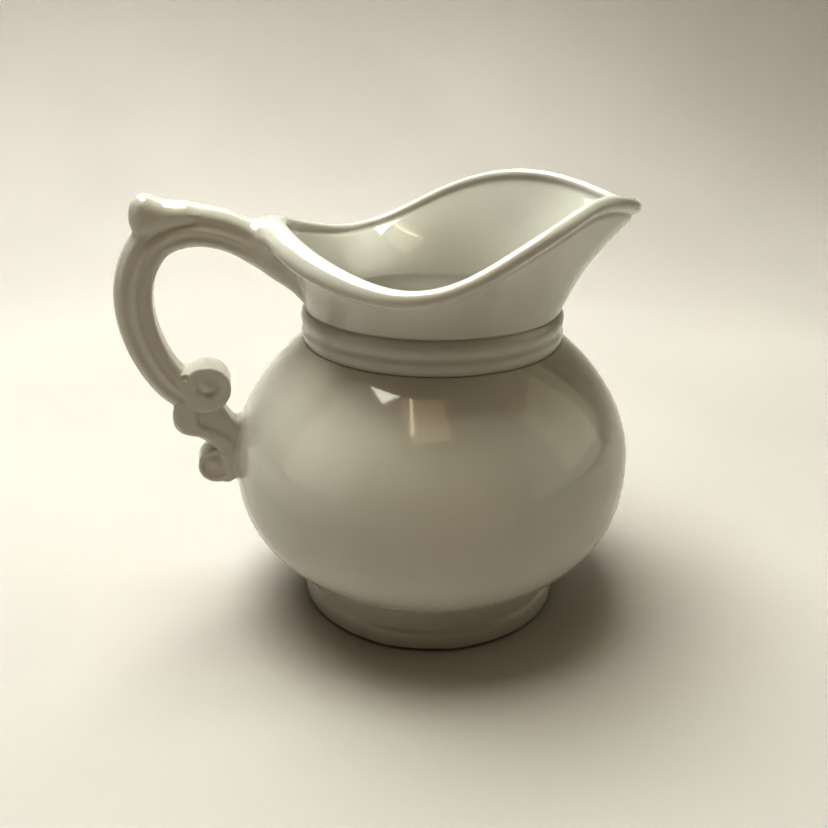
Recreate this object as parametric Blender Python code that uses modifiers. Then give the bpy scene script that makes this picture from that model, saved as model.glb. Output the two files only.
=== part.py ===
"""Porcelain cream jug: round belly on a foot ring, raised collar, boat-shaped pouring neck, scroll handle.

Metres, +Z up. The spout points along +X and the handle along -X, and the XZ plane is the mirror plane.
The origin is on the surface the jug stands on, below the centre of its overall box.
"""

import math

import bmesh
import bpy

MM = 0.001
GAP = 0.3 * MM  # clearance between neighbouring solids
WELD = 0.001 * MM  # points closer than this are one point
SMOOTH_ANGLE = math.radians(40)  # edges sharper than this stay crisp
AXIS_X = 11.0 * MM  # where the belly's axis of revolution stands
TURNS = 64  # facets round every turned part and round the neck

# Belly: one power curve above its widest ring and another below it.
BELLY_RADIUS = 46.0 * MM
BELLY_MID_Z = 37.25 * MM
BELLY_RISE = 37.3 * MM
BELLY_DROP = 33.5 * MM
RISE_POWER = 1.84
DROP_POWER = 2.7
DROP_RADIUS_POWER = 1.9
BELLY_TOP_Z = 64.3 * MM
BELLY_FOOT_Z = 10.4 * MM
WALL = 3.6 * MM
FLOOR = 4.6 * MM
THROAT_RADIUS = 25.3 * MM
BASE_RADIUS = 25.2 * MM
BASE_Z = 4.2 * MM
BELLY_ROWS = 17
CAVITY_ROWS = 15

# Foot ring.
FOOT_RADIUS = 31.5 * MM
FOOT_WAIST = 30.3 * MM
FOOT_WAIST_Z = 7.3 * MM
FOOT_BAND = 4.3 * MM
FOOT_BAND_ROWS = 6
FOOT_FACE_OUTER = 30.6 * MM
FOOT_FACE_INNER = 27.6 * MM
FOOT_CHAMFER = 0.6 * MM
SEAT_ROWS = 4

# Collar: a rounded band that stands proud of the belly and the neck.
COLLAR_MID_Z = 68.3 * MM
COLLAR_HALF_HEIGHT = 3.65 * MM
COLLAR_ROOT = 27.4 * MM
COLLAR_BULGE = 2.1 * MM
COLLAR_FULLNESS = 0.7
COLLAR_ROWS = 9

# Neck and rim. Reach and height of the rim are cosine waves of the angle from the spout.
NECK_RADIUS = 27.3 * MM  # middle of the wall, at the collar
NECK_Z = 72.9 * MM
NECK_WALL = 2.5 * MM
NECK_OUTSET = 0.3 * MM  # the wall leans this far outside the bead at the sides, twice as far at the spout
NECK_FLARE = 0.6  # share of the flare that is straight, the rest curves outward
RIM_REACH = (36.52, 3.39, 0.67, 1.87, 1.21, 0.23, 0.28, 0.15, -0.18, -0.15)
RIM_HEIGHT = (89.43, 4.73, 2.73, -3.24, -1.15, 0.02, -0.16, -0.23, -0.04)
BEAD_RADIUS = 1.5 * MM
BEAD_POINTS = 72
BEAD_SEAT = 0.1 * MM  # extra clearance under the round bead, whose facets reach past its mean radius
NECK_ROWS = 8

# Handle, in the mirror plane: (distance behind the belly's axis, height, radius of the section), in mm.
ARCH_PATH = (
    (28.0, 80.2, 4.2),
    (31.5, 83.3, 4.6),
    (35.0, 86.3, 4.7),
    (38.4, 87.4, 4.0),
    (45.0, 90.6, 4.1),
    (52.0, 91.0, 4.3),
    (59.2, 87.3, 4.0),
    (62.8, 81.5, 4.0),
    (64.0, 75.0, 4.0),
    (63.2, 68.0, 3.9),
    (61.0, 61.6, 3.8),
    (57.4, 56.4, 3.8),
    (52.5, 53.8, 3.6),
)
REST_PATH = (
    (52.0, 92.0, 3.2),
    (56.5, 92.9, 3.7),
    (58.9, 93.2, 3.95),
    (61.0, 92.5, 3.4),
    (62.6, 91.6, 0.8),
)
# Scrolls: (distance behind the axis, height, radius). Bracket outline: (distance behind the axis, height).
UPPER_SCROLL = (50.7, 55.8, 5.2)
LOWER_SCROLL = (50.5, 36.6, 3.8)
SCROLL_WIDTH = 8.4 * MM
BRACKET_WIDTH = 7.4 * MM
BRACKET_OUTLINE = (
    (57.4, 52.6),
    (58.5, 49.5),
    (58.4, 47.0),
    (57.0, 45.2),
    (54.8, 44.7),
    (52.3, 43.2),
    (50.0, 40.4),
    (47.0, 38.4),
    (42.0, 38.0),
    (42.0, 47.2),
    (46.0, 47.9),
    (47.4, 50.6),
    (50.0, 55.0),
)
EDGE_ROUND = 0.9 * MM
SCROLL_SIDES = 28
TUBE_SIDES = 12

GLAZE = (0.86, 0.85, 0.80, 1.0)
FOOT_GLAZE = (0.80, 0.77, 0.69, 1.0)
GLAZE_ROUGHNESS = 0.08


def clear_scene():
    for obj in list(bpy.data.objects):
        bpy.data.objects.remove(obj, do_unlink=True)


def new_collection(name, cutters=False):
    collection = bpy.data.collections.new(name)
    collection.hide_render = cutters
    bpy.context.scene.collection.children.link(collection)
    return collection


def glazed(name, colour, roughness):
    material = bpy.data.materials.new(name)
    material.use_nodes = True
    shader = material.node_tree.nodes["Principled BSDF"]
    shader.inputs["Base Color"].default_value = colour
    shader.inputs["Roughness"].default_value = roughness
    shader.inputs["Metallic"].default_value = 0.0
    return material


def add_object(name, mesh, collection, colour=GLAZE, roughness=GLAZE_ROUGHNESS):
    """Places a mesh as a named part, or as a wire-drawn helper when its collection holds cutters."""
    obj = bpy.data.objects.new(name, mesh)
    collection.objects.link(obj)
    if collection.hide_render:
        obj.hide_render = True
        obj.display_type = "WIRE"
    else:
        mesh.materials.append(glazed(name + "_glaze", colour, roughness))
        mesh.shade_smooth()
        mesh.set_sharp_from_angle(angle=SMOOTH_ANGLE)
    return obj


def turned(name, profile, collection, ring=False, **look):
    """Turns (radius, height) points about the belly's axis. The profile of a ring is a closed loop."""
    mesh = bpy.data.meshes.new(name)
    edges = [(i, i + 1) for i in range(len(profile) - 1)]
    if ring:
        edges.append((len(profile) - 1, 0))
    mesh.from_pydata([(radius, 0, z) for radius, z in profile], edges, [])
    obj = add_object(name, mesh, collection, **look)
    obj.location.x = AXIS_X
    screw = obj.modifiers.new("Turn", "SCREW")
    screw.axis = "Z"
    screw.steps = TURNS
    screw.render_steps = TURNS
    screw.use_merge_vertices = True
    screw.merge_threshold = WELD
    screw.use_smooth_shade = True
    return obj


def belly_point(angle, inset=0.0, floor=0.0):
    """(radius, height) on the belly. The angle is 90 degrees at the top, 0 at the widest ring, -90 below."""
    radius = BELLY_RADIUS - inset
    side = math.cos(angle)
    if angle >= 0:
        height = (BELLY_RISE - inset) * math.sin(angle) ** (2 / RISE_POWER)
        return radius * side ** (2 / RISE_POWER), BELLY_MID_Z + height
    depth = (BELLY_DROP - floor) * math.sin(-angle) ** (2 / DROP_POWER)
    return radius * max(side, 0.0) ** (2 / DROP_RADIUS_POWER), BELLY_MID_Z - depth


def belly_angle(z):
    """The angle at which belly_point reaches the height z on the outside."""
    if z >= BELLY_MID_Z:
        return math.asin(((z - BELLY_MID_Z) / BELLY_RISE) ** (RISE_POWER / 2))
    return -math.asin(((BELLY_MID_Z - z) / BELLY_DROP) ** (DROP_POWER / 2))


def spread(first, last, count):
    return [first + (last - first) * i / (count - 1) for i in range(count)]


def outer_belly(count, grow=0.0):
    angles = spread(belly_angle(BELLY_TOP_Z), belly_angle(BELLY_FOOT_Z), count)
    return [belly_point(angle, -grow, -grow) for angle in angles]


def seat_points(drop):
    """The curve on which belly and foot ring meet, from the outside in, moved down by drop."""
    radii = spread(FOOT_WAIST - GAP, BASE_RADIUS + GAP, SEAT_ROWS)
    points = []
    for radius in radii:
        side = (radius / BELLY_RADIUS) ** DROP_RADIUS_POWER
        z = BELLY_MID_Z - BELLY_DROP * (1 - side) ** (1 / DROP_POWER)
        points.append((radius, z - drop))
    return points


def make_bowl(parts):
    throat_side = (THROAT_RADIUS / (BELLY_RADIUS - WALL)) ** (RISE_POWER / 2)
    angles = spread(-math.pi / 2, math.acos(throat_side), CAVITY_ROWS)
    inside = [belly_point(angle, WALL, FLOOR) for angle in angles]
    inside[0] = (0.0, inside[0][1])
    lip = [(THROAT_RADIUS, BELLY_TOP_Z)]
    under = seat_points(0.0)
    base = [(BASE_RADIUS, BASE_Z + EDGE_ROUND), (BASE_RADIUS - EDGE_ROUND, BASE_Z), (0.0, BASE_Z)]
    profile = inside + lip + outer_belly(BELLY_ROWS) + under[1:-1] + [(BASE_RADIUS, under[-1][1])] + base
    return turned("bowl", profile, parts)


def make_foot_ring(parts):
    band_mid = FOOT_BAND / 2
    bulge = FOOT_RADIUS - FOOT_FACE_OUTER
    band = []
    for angle in spread(math.pi / 3, -math.pi / 2, FOOT_BAND_ROWS):
        band.append((FOOT_FACE_OUTER + bulge * math.cos(angle), band_mid + band_mid * math.sin(angle)))
    cove = [(FOOT_WAIST, FOOT_WAIST_Z)]
    chamfer = (FOOT_FACE_INNER - FOOT_CHAMFER, FOOT_CHAMFER)
    inner = [(FOOT_FACE_INNER, 0.0), chamfer, (BASE_RADIUS + GAP, BASE_Z)]
    top = seat_points(GAP)
    profile = [top[0]] + cove + band + inner + top[:0:-1]
    return turned("foot_ring", profile, parts, ring=True, colour=FOOT_GLAZE)


def make_collar(parts):
    outside = []
    for angle in spread(math.pi / 2, -math.pi / 2, COLLAR_ROWS):
        bulge = COLLAR_BULGE * max(math.cos(angle), 0.0) ** COLLAR_FULLNESS
        outside.append((COLLAR_ROOT + bulge, COLLAR_MID_Z + COLLAR_HALF_HEIGHT * math.sin(angle)))
    inside = [(THROAT_RADIUS, outside[-1][1]), (THROAT_RADIUS, outside[0][1])]
    return turned("neck_collar", outside + inside, parts, ring=True)


def wave(weights, angle):
    return sum(weight * math.cos(k * angle) for k, weight in enumerate(weights)) * MM


def neck_top(angle):
    """Radius of the middle of the neck's wall at the height of the bead's centre line."""
    return wave(RIM_REACH, angle) + NECK_OUTSET * (1 + math.cos(angle))


def neck_radius_height(angle, share):
    """(radius, height) of the middle of the neck's wall. The share is 0 at the collar and 1 at the rim."""
    reach = neck_top(angle) - NECK_RADIUS
    flare = NECK_FLARE * share + (1 - NECK_FLARE) * share * share
    return NECK_RADIUS + reach * flare, NECK_Z + (wave(RIM_HEIGHT, angle) - NECK_Z) * share


def around(radius, angle, z):
    return AXIS_X + radius * math.cos(angle), radius * math.sin(angle), z


def ring_grid(mesh, rows, capped):
    """Fills a mesh with quads between rings of points, with a face at each end when capped."""
    shape = bmesh.new()
    rings = [[shape.verts.new(point) for point in row] for row in rows]
    for lower, upper in zip(rings, rings[1:]):
        for i, vertex in enumerate(lower):
            j = (i + 1) % len(lower)
            shape.faces.new((vertex, lower[j], upper[j], upper[i]))
    if capped:
        shape.faces.new(rings[0][::-1])
        shape.faces.new(rings[-1])
    shape.to_mesh(mesh)
    shape.free()


def neck_rows(count, stop_short, outward=0.0):
    """Rings up the neck. They end stop_short below the bead's centre line, measured along the wall."""
    angles = [2 * math.pi * i / BEAD_POINTS for i in range(BEAD_POINTS)]
    rows = []
    for step in spread(0.0, 1.0, count):
        row = []
        for angle in angles:
            rise = wave(RIM_HEIGHT, angle) - NECK_Z
            reach = neck_top(angle) - NECK_RADIUS
            radius, z = neck_radius_height(angle, step * (1 - stop_short / math.hypot(rise, reach)))
            row.append(around(radius + outward, angle, z))
        rows.append(row)
    return rows


def make_neck(parts):
    mesh = bpy.data.meshes.new("spouted_neck")
    ring_grid(mesh, neck_rows(NECK_ROWS, BEAD_RADIUS + GAP + BEAD_SEAT), capped=False)
    neck = add_object("spouted_neck", mesh, parts)
    shell = neck.modifiers.new("Wall", "SOLIDIFY")
    shell.thickness = NECK_WALL
    shell.offset = 0.0
    shell.use_even_offset = True
    return neck


def mesh_from_curve(curve):
    """Makes the object's tube a mesh with welded caps and removes the curve."""
    graph = bpy.context.evaluated_depsgraph_get()
    mesh = bpy.data.meshes.new_from_object(curve.evaluated_get(graph))
    shape = bmesh.new()
    shape.from_mesh(mesh)
    bmesh.ops.remove_doubles(shape, verts=shape.verts, dist=WELD)
    shape.to_mesh(mesh)
    shape.free()
    bpy.data.objects.remove(curve, do_unlink=True)
    return mesh


def curve_object(name, kind="3D"):
    data = bpy.data.curves.new(name + "_curve", "CURVE")
    data.dimensions = kind
    obj = bpy.data.objects.new(name + "_curve", data)
    bpy.context.scene.collection.objects.link(obj)
    return obj


def bead(name, collection, grow=0.0):
    """The round bead along the lip."""
    curve = curve_object(name)
    curve.data.bevel_depth = BEAD_RADIUS + grow
    curve.data.bevel_resolution = (TUBE_SIDES - 4) // 2
    curve.data.twist_mode = "Z_UP"
    spline = curve.data.splines.new("POLY")
    spline.points.add(BEAD_POINTS - 1)
    spline.use_cyclic_u = True
    for i, point in enumerate(spline.points):
        angle = 2 * math.pi * i / BEAD_POINTS
        point.co = (*around(wave(RIM_REACH, angle), angle, wave(RIM_HEIGHT, angle)), 1)
    return add_object(name, mesh_from_curve(curve), collection)


def tapered_tube(name, path, collection, grow=0.0):
    """A round tube through (distance behind the axis, height, radius) points in the mirror plane."""
    curve = curve_object(name)
    curve.data.bevel_depth = MM
    curve.data.bevel_resolution = (TUBE_SIDES - 4) // 2
    curve.data.use_fill_caps = True
    curve.data.resolution_u = 4
    spline = curve.data.splines.new("BEZIER")
    spline.bezier_points.add(len(path) - 1)
    for point, (behind, z, radius) in zip(spline.bezier_points, path):
        point.co = (AXIS_X - behind * MM, 0, z * MM)
        point.handle_left_type = "AUTO"
        point.handle_right_type = "AUTO"
        point.radius = radius + grow / MM
    return add_object(name, mesh_from_curve(curve), collection)


def scroll_drum(name, place, width, collection, grow=0.0):
    """A short drum across the mirror plane with rounded edges."""
    behind, z, radius = place
    size = {"radius": radius * MM + grow, "depth": width + 2 * grow}
    bpy.ops.mesh.primitive_cylinder_add(vertices=SCROLL_SIDES, **size)
    helper = bpy.context.object
    mesh = helper.data
    bpy.data.objects.remove(helper, do_unlink=True)
    drum = add_object(name, mesh, collection)
    drum.location = (AXIS_X - behind * MM, 0, z * MM)
    drum.rotation_euler.x = math.pi / 2
    bevel = drum.modifiers.new("Rounded edges", "BEVEL")
    bevel.width = EDGE_ROUND
    bevel.segments = 2
    bevel.limit_method = "ANGLE"
    bevel.angle_limit = SMOOTH_ANGLE
    return drum


def bracket_blank(name, collection):
    """The bracket as a flat bevelled plate in the mirror plane, before it is cut to its neighbours."""
    curve = curve_object(name, "2D")
    curve.data.fill_mode = "BOTH"
    curve.data.extrude = BRACKET_WIDTH / 2 - EDGE_ROUND
    curve.data.bevel_depth = EDGE_ROUND
    curve.data.bevel_resolution = 1
    curve.data.offset = -EDGE_ROUND
    curve.data.resolution_u = 3
    spline = curve.data.splines.new("BEZIER")
    spline.bezier_points.add(len(BRACKET_OUTLINE) - 1)
    spline.use_cyclic_u = True
    for point, (behind, z) in zip(spline.bezier_points, BRACKET_OUTLINE):
        point.co = (-behind * MM, z * MM, 0)
        point.handle_left_type = "AUTO"
        point.handle_right_type = "AUTO"
    plate = add_object(name, mesh_from_curve(curve), collection)
    plate.location.x = AXIS_X
    plate.rotation_euler.x = math.pi / 2
    return plate


def cut(obj, *cutters):
    for cutter in cutters:
        boolean = obj.modifiers.new("Clear of " + cutter.name, "BOOLEAN")
        boolean.operation = "DIFFERENCE"
        boolean.object = cutter


def body_cutters(cutters):
    """Solids of the belly, and of the neck with its bead, grown by the gap."""
    belly_side = outer_belly(BELLY_ROWS, GAP)
    closed = [(0.0, belly_side[0][1])] + belly_side + [(0.0, belly_side[-1][1])]
    belly = turned("belly_cutter", closed, cutters)
    rows = neck_rows(NECK_ROWS, 0.0, NECK_WALL / 2 + GAP)
    bead_side = []
    for i in range(BEAD_POINTS):
        angle = 2 * math.pi * i / BEAD_POINTS
        radius = wave(RIM_REACH, angle) + BEAD_RADIUS + GAP
        bead_side.append((radius, angle, wave(RIM_HEIGHT, angle)))
    rows.append([around(radius, angle, z) for radius, angle, z in bead_side])
    rows.append([around(radius, angle, z + 3 * BEAD_RADIUS) for radius, angle, z in bead_side])
    mesh = bpy.data.meshes.new("neck_cutter")
    ring_grid(mesh, rows, capped=True)
    neck = add_object("neck_cutter", mesh, cutters)
    return belly, neck, bead("bead_cutter", cutters, GAP)


def make_handle(parts, cutters):
    belly, neck, lip = body_cutters(cutters)
    arch_space = tapered_tube("arch_cutter", ARCH_PATH, cutters, GAP)
    upper_space = scroll_drum("upper_scroll_cutter", UPPER_SCROLL, SCROLL_WIDTH, cutters, GAP)
    lower_space = scroll_drum("lower_scroll_cutter", LOWER_SCROLL, SCROLL_WIDTH, cutters, GAP)
    arch = tapered_tube("handle_arch", ARCH_PATH, parts)
    cut(arch, neck, lip, upper_space)
    thumb_rest = tapered_tube("thumb_rest", REST_PATH, parts)
    cut(thumb_rest, arch_space)
    scroll_drum("upper_scroll", UPPER_SCROLL, SCROLL_WIDTH, parts)
    lower = scroll_drum("lower_scroll", LOWER_SCROLL, SCROLL_WIDTH, parts)
    cut(lower, belly)
    bracket = bracket_blank("handle_bracket", parts)
    cut(bracket, belly, arch_space, upper_space, lower_space)


def main():
    clear_scene()
    parts = new_collection("cream_jug")
    cutters = new_collection("cutters", cutters=True)
    make_foot_ring(parts)
    make_bowl(parts)
    make_collar(parts)
    make_neck(parts)
    bead("rim_roll", parts)
    make_handle(parts, cutters)


main()
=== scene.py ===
"""Looks of the porcelain cream jug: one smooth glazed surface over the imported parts, lights and camera.

Lengths are in millimetres in the jug's own frame (the belly's axis at x = 0, the spout along +X), and go to
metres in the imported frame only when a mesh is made.
"""

import math

import bpy
import numpy as np
from mathutils import Matrix, Vector


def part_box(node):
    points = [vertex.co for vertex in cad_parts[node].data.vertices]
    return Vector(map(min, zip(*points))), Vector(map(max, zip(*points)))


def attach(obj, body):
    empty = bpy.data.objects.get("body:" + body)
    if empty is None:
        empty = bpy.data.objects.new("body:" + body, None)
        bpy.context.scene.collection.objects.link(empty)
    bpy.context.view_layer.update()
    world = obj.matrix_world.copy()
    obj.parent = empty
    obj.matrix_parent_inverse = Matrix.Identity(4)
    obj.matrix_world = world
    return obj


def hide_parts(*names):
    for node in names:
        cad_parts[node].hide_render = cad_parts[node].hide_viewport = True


MM = 0.001

# Belly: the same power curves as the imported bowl, above and below its widest ring.
BELLY_MID = 37.25
BELLY_RISE = 37.3
BELLY_DROP = 33.5
RISE_POWER = 1.84
DROP_POWER = 2.7
DROP_RADIUS_POWER = 1.9
BELLY_TOP = 64.55
BELLY_FOOT = 10.3
RAISED_LINE = ((-0.39, -0.28), (-0.2, -0.16), (-0.02, 0.0), (0.06, 0.14))  # the thin line at the foot
WALL = 3.2
FLOOR = 4.6
THROAT_RADIUS = 25.4
THROAT_Z = 66.0
SHOULDER_Z = 58.5  # where the curve under the throat meets the inside of the belly

# Foot ring.
FOOT_WAIST = 30.45
FOOT_BAND_TOP = 4.6
FOOT_FACE_OUTER = 30.4
FOOT_FACE_INNER = 27.7
FOOT_RECESS = 4.4
UNDER_DOME = 0.6  # the underside stands this much higher in the middle
UNDER_RADII = (1, 5, 10, 15, 20, 23, 24.4)
FOOT_INNER_SIDE = ((25.2, FOOT_RECESS - 0.1), (25.9, 3.6), (26.7, 2.0), (27.2, 0.9), (27.45, 0.25))
GLAZE_LINE = 0.55  # how far the glaze edge stands above the resting face
GLAZE_EDGE = ((0.0, 0.3), (0.1, 0.7), (0.3, 0.92), (0.6, 1.1))  # (outward, share of the edge's height)
GLAZE_TOP = GLAZE_EDGE[-1][1]
FOOT_BULGE_Z = 1.9  # the band is fullest at this height
FOOT_BULGE_BELOW = 3.4  # how fast it narrows below and above that
FOOT_BULGE_ABOVE = FOOT_BAND_TOP - 1.6
FOOT_STEP = 0.18  # share of the band's bulge left at its upper edge

# Collar.
COLLAR_MID = 68.3
COLLAR_HALF = 3.7
COLLAR_ROOTS = (28.75, 28.4)  # radius of the crease below and above the band
COLLAR_GROOVE = 0.26  # depth
COLLAR_GROOVE_WIDTH = 0.26  # share of the band's half height

# Neck and lip.
NECK_BASE = 72.1
NECK_ROOT = 27.35
NECK_FLARE = 0.6
NECK_OUTSET = 0.3
LIP_RADIUS = 1.5
LIP_WAVES = (10, 9)  # cosine waves in the lip's reach and height
WALL_OUT_SIDE = 0.95
WALL_OUT_SPOUT = 1.4
WALL_IN = 1.0
LIP_FILLET = 2.7
LIP_ARC = math.radians(38)
NECK_ROWS = 24
LIP_ROWS = 27
COVE_ROWS = 6
# The lip broadens towards the handle: it starts this far from the back, and grows outward and down.
BROAD_SPREAD = math.radians(90)
BROAD_STEEP = 1.35
BROAD_OUT = 1.35
BROAD_WIDE = 1.45
BROAD_DEEP = 0.6
BROAD_ARC = math.radians(20)
BROAD_COVES = (1.9, 0.5)  # how much lower the coves under it end, outside and inside
CREST_SPREAD = math.radians(40)  # the lip rises over this much of the back
CREST_UP = 0.95
CREST_DEEP = 0.15
THROAT_ROWS = 8
COLUMNS = 288  # points in each ring of the body

# Handle, in the mirror plane. The strap's line: (distance behind axis, height, half thickness, half width).
ARCH = (
    (27.0, 79.2, 4.2, 3.2),
    (31.0, 83.6, 4.5, 3.6),
    (34.8, 85.7, 4.2, 4.3),
    (38.6, 87.0, 3.8, 4.3),
    (44.8, 89.9, 4.0, 4.3),
    (51.6, 90.8, 4.2, 4.2),
    (58.2, 88.3, 4.0, 4.1),
    (62.3, 82.6, 3.95, 4.0),
    (63.95, 75.5, 3.95, 4.0),
    (63.3, 68.2, 3.9, 4.0),
    (61.0, 61.6, 3.85, 4.05),
    (57.6, 56.4, 3.85, 4.1),
    (53.6, 53.3, 3.3, 4.1),
    (50.2, 52.8, 2.4, 4.1),
)
# Outline of the thumb rest.
REST = (
    (47.5, 93.6),
    (51.0, 95.4),
    (54.5, 95.75),
    (56.8, 96.3),
    (58.8, 97.1),
    (60.3, 97.1),
    (61.6, 96.2),
    (62.5, 94.5),
    (62.8, 92.3),
    (62.4, 90.3),
    (61.4, 88.6),
    (58.4, 88.9),
    (54.5, 90.4),
    (50.0, 91.2),
)
# Line of the web under the strap, with the strap's columns.
GUSSET = ((27.6, 74.6, 1.0, 3.4), (30.0, 78.6, 2.2, 4.6), (33.2, 81.9, 3.0, 5.2), (37.6, 84.9, 2.4, 4.2))
# The strap's section across its line, outward positive: a flute, a fine ridge beside it and a hollow edge.
# Each wave is (depth, position across, spread), and a ridge has a depth below 0.
STRAP_WAVES = ((0.5, 0.7, 0.95), (-0.14, -0.75, 0.45), (0.22, -2.0, 0.8))
STRAP_CORNERS = (2.0, 1.8)  # the inner corner's radius, and how much rounder the outer one is
STRAP_FADE_IN = (0.16, 0.12)  # start and length of the flute, as shares of the line
STRAP_FADE_OUT = (0.94, 0.1)
REST_HALF_WIDTH = 4.35
REST_CORNER = 3.3
# Scrolls: (distance behind the axis, height, radius). The boss of each is its raised middle.
UPPER_SCROLL = (50.7, 55.9, 5.1)
UPPER_BOSS = (50.6, 57.1)
UPPER_WEB = (54.6, 57.7, 2.1)
UPPER_PIT = (55.1, 59.0, 4.1)  # a small dimple on each side, the last number being its distance across
UPPER_PIT_RADIUS = 0.75
# Its groove and the groove's tail: (depth, distance from the middle of the boss, spread).
UPPER_GROOVE = (0.55, 2.15, 0.9)
UPPER_TAIL = (0.4, 3.9, 0.6)
LOWER_SCROLL = (50.2, 37.3, 4.05)
LOWER_BOSS = (50.8, 38.3)
# Outline of the bracket, and the line and half thickness of the rib on it.
BRACKET = (
    (56.4, 53.4),
    (57.6, 51.6),
    (58.5, 49.5),
    (58.4, 47.0),
    (57.0, 45.3),
    (54.8, 44.7),
    (52.4, 43.3),
    (50.0, 40.6),
    (47.0, 38.4),
    (42.0, 38.0),
    (42.0, 46.8),
    (45.4, 47.7),
    (47.3, 50.4),
    (49.4, 54.6),
)
BAND = (
    (55.6, 51.6, 2.6),
    (56.0, 49.3, 2.6),
    (55.2, 47.5, 2.4),
    (54.0, 46.4, 1.7),
    (52.4, 45.7, 1.3),
    (50.5, 44.5, 1.4),
    (48.6, 42.7, 1.7),
    (47.4, 40.6, 1.9),
    (46.9, 38.2, 1.9),
    (47.0, 35.8, 1.7),
    (47.9, 34.1, 1.2),
    (49.4, 33.9, 0.7),
)
SCROLL_HALF_WIDTH = 4.1
BRACKET_HALF_WIDTH = 3.1
BAND_HALF_WIDTH = 3.9
# How the handle joins the body.
ROOT_FILLETS = (1.9, 1.1)  # size of the fillet at the belly, and how much larger it is on the neck
ROOT_FLARE = 3.6  # how much larger again it is under the lip
ROOT_DEPTH = 1.2  # the handle ends this far inside the body
SINK = 0.012  # the fillets run out this far below the body's surface
NECK_SINK = 0.03  # and this much further on the neck
HANDLE_LOW = (24.5, -12.0, 29.0)
HANDLE_HIGH = (68.6, 12.0, 98.2)
HANDLE_STEP = 0.34
GRID_SHIFT = 0.013  # keeps the grid off the mirror plane and the round numbers

# Glaze, clay and stage colours (linear).
GLAZE_COOL = (0.80, 0.80, 0.765)
GLAZE_WARM = (0.835, 0.82, 0.77)
SPECK = (0.12, 0.08, 0.05, 1)
CLAY_PALE = (0.62, 0.56, 0.47)
CLAY_RUBBED = (0.42, 0.36, 0.29)
GLAZE_IOR = 1.56
FLOOR_LIGHT = (0.715, 0.69, 0.67)
FLOOR_DARK = (0.67, 0.645, 0.625)
FILM_GAMMA = 0.5  # below 1 for more contrast
# The sweep and the round wall, in metres.
SWEEP_FRONT = -1.6
SWEEP_SIDES = (-2.5, 2.5)
SWEEP_START = 0.24
SWEEP_RADIUS = 0.22
SURROUND_START = 0.72
SURROUND_COLUMNS = 96
WALL_TOP = 2.2
# The tent round the jug: its walls, and the room seen through its open front.
TENT_LOW = (0.64, 0.61, 0.57)
TENT_TOP = (0.50, 0.47, 0.43)
ROOM = (0.30, 0.20, 0.10)
TENT_STRENGTH = 0.42
TENT_SHEEN = 3.4  # how much brighter the tent is in the glaze than as fill light
OPENING_ACROSS = (1.25, -0.12, 0.0)
OPENING_UP = (-0.03, 0.62, 1.63)
OPENING_EDGE = 0.12
# Lamps: name, place, direction of the second side, size, power, colour. They all point at the jug's middle.
LAMP_AIM = (0, 0, 0.05)
LAMPS = (
    ("overhead", (-0.16, 0.13, 1.0), (1, 0, 0), (0.6, 0.6), 9.9, (0.94, 1.0, 0.98)),
    ("strip", (-0.25, -0.38, 1.0), (-0.12, -0.43, 0), (0.025, 0.45), 0.22, (1.0, 0.93, 0.82)),
    ("above_front", (-0.13, -0.44, 0.93), (1, 0, 0), (0.5, 0.36), 0.8, (1.0, 0.78, 0.5)),
    ("behind", (0.0, 0.44, 0.55), (1, 0, 0), (0.3, 0.7), 1.4, (0.94, 0.9, 1.0)),
    ("left_wall", (-0.62, -0.10, 0.20), (0, 0, 1), (0.12, 0.45), 0.05, (1.0, 0.9, 0.78)),
    ("right_wall", (0.62, -0.05, 0.35), (0, 0, 1), (0.5, 0.5), 0.48, (0.95, 1.0, 0.78)),
)

# The camera: place in metres, then the camera's right, up and backward directions.
CAMERA_PLACE = (-0.030403, -0.176638, 0.122029)
CAMERA_AXES = ((0.97887, -0.20441, 0.00594), (0.07496, 0.38569, 0.91958), (-0.19027, -0.89970, 0.39287))
CAMERA_LENS = 36.065

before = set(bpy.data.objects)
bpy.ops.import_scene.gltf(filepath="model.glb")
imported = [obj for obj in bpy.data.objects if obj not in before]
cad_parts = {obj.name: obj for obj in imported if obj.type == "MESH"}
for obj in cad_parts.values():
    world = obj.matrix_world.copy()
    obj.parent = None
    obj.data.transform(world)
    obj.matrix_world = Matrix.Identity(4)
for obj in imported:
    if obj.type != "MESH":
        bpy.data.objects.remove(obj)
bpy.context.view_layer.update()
BOWL_LOW, BOWL_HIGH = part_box("bowl")
AXIS = (BOWL_LOW.x + BOWL_HIGH.x) / 2 / MM


def packed_radius(name):
    """The radius of a round CAD node, in mm."""
    low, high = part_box(name)
    return (high.y - low.y) / 2 / MM


BELLY_RADIUS = packed_radius("bowl")
FOOT_RADIUS = packed_radius("foot_ring")
COLLAR_RADIUS = packed_radius("neck_collar")


# ---------------------------------------------------------------- shapes of the body


def lip_waves():
    """Cosine weights of the lip's centre line, (reach, height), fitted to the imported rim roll."""
    points = np.array([v.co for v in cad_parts["rim_roll"].data.vertices], float) / MM
    points[:, 0] -= AXIS
    angle = np.arctan2(points[:, 1], points[:, 0])
    weights = []
    for count, values in zip(LIP_WAVES, (np.hypot(points[:, 0], points[:, 1]), points[:, 2])):
        basis = np.cos(np.arange(count)[None, :] * angle[:, None])
        weights.append(np.linalg.lstsq(basis, values, rcond=None)[0])
    return weights


REACH_WAVES, HEIGHT_WAVES = lip_waves()


def wave(weights, angle):
    """A sum of cosine waves at each angle."""
    return np.cos(np.multiply.outer(angle, np.arange(len(weights)))) @ weights


def smooth(t):
    """An even S-shaped step from 0 at t = 0 to 1 at t = 1."""
    t = np.clip(t, 0.0, 1.0)
    return t * t * (3 - 2 * t)


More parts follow.
